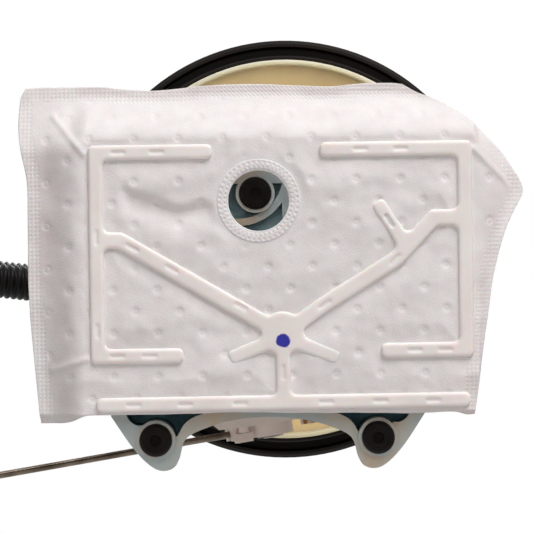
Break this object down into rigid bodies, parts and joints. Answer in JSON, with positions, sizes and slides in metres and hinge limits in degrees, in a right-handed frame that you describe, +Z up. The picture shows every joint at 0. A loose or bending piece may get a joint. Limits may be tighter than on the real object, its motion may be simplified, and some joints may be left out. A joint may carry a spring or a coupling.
{
  "type": "fuel pump module",
  "caption": "In-tank fuel pump module: round flange with seal, sprung guide rods, pump carrier on a cast base, flat bag strainer on runners, and a level sensor with float arm.",
  "frame": {"origin": "centre of the flange's seat plane, where the underside of its rim rests on the seal's web", "axes": "+Z up out of the tank along the flange's axis; +X the side that the float arm and feed hose reach to; -Y the side that carries the level sensor"},
  "size_m": [0.2198, 0.1401, 0.2085],
  "materials": {
    "natural_acetal": "satin moulded",
    "seal_rubber": "matte",
    "tinned_brass": "satin",
    "rod_steel": "ground",
    "spring_steel": "drawn",
    "passivated_casting": "cast, blue passivated",
    "foot_rubber": "matte",
    "white_acetal": "satin moulded",
    "bush_plastic": "satin",
    "zinc_steel": "zinc plated",
    "plated_steel": "satin plated",
    "pump_aluminium": "machined",
    "black_plastic": "satin moulded",
    "brush_carbon": "matte",
    "magnet_ferrite": "matte",
    "plug_plastic": "satin moulded",
    "hose_plastic": "satin",
    "lead_insulation": "satin",
    "sensor_insulation": "satin",
    "runner_plastic": "translucent moulded",
    "bag_fabric": "point-bonded nonwoven",
    "sensor_plastic": "satin moulded",
    "card_ceramic": "fired",
    "contact_bronze": "satin",
    "impeller_resin": "matte",
    "core_steel": "laminated",
    "winding_copper": "enamelled",
    "wire_steel": "drawn",
    "float_foam": "closed-cell foam"
  },
  "bodies": {
    "flange_unit": {"flange": "natural_acetal", "tank_seal": "seal_rubber", "socket_blades": "tinned_brass", "guide_rods": "rod_steel", "rod_clips": "spring_steel"},
    "base": {"base_casting": "passivated_casting", "rubber_feet": "foot_rubber", "pump_carrier": "white_acetal", "guide_bushes": "bush_plastic", "carrier_screws": "zinc_steel", "pump_cushion": "foot_rubber", "pump_can": "plated_steel", "pump_inlet_cover": "pump_aluminium", "impeller_housing": "pump_aluminium", "pump_outlet_cap": "black_plastic", "pump_brushes": "brush_carbon", "pump_magnets": "magnet_ferrite", "pump_terminals": "tinned_brass", "pump_plug": "plug_plastic", "pump_elbow": "black_plastic", "feed_hose": "hose_plastic", "pump_leads": "lead_insulation", "sensor_leads": "sensor_insulation", "left_spring": "spring_steel", "right_spring": "spring_steel", "strainer_frame": "runner_plastic", "strainer_bag": "bag_fabric", "strainer_neck": "runner_plastic", "strainer_clip": "spring_steel", "sensor_body": "sensor_plastic", "sensor_card": "card_ceramic", "sensor_contacts": "contact_bronze", "pivot_washer": "spring_steel"},
    "pump_rotor": {"pump_shaft": "rod_steel", "impeller": "impeller_resin", "armature_core": "core_steel", "windings": "winding_copper", "commutator": "winding_copper"},
    "float_arm": {"arm_carriage": "sensor_plastic", "wiper": "contact_bronze", "float_wire": "wire_steel", "float_clip": "spring_steel"},
    "float": {"level_float": "float_foam"}
  },
  "joints": [
    {"name": "base_slide", "type": "slide", "parent": "flange_unit", "child": "base", "axis": [0, 0, 1], "range_m": [0, 0.025], "stiffness_N_per_m": 600, "springref_m": -0.04, "deforming": ["left_spring", "right_spring", "feed_hose", "pump_leads", "sensor_leads"]},
    {"name": "float_arm_pivot", "type": "hinge", "parent": "base", "child": "float_arm", "pos_m": [0.0065, -0.0516, -0.104], "axis": [-0.1357, -0.9907, 0], "range_deg": [0, 62]},
    {"name": "float_swivel", "type": "hinge", "parent": "float_arm", "child": "float", "pos_m": [0.12314, -0.05405, -0.15083], "axis": [-0.1357, -0.9907, 0], "continuous": true},
    {"name": "pump_rotor_spin", "type": "hinge", "parent": "base", "child": "pump_rotor", "pos_m": [0.0065, -0.0245, -0.12], "axis": [0, 0, 1], "continuous": true}
  ]
}
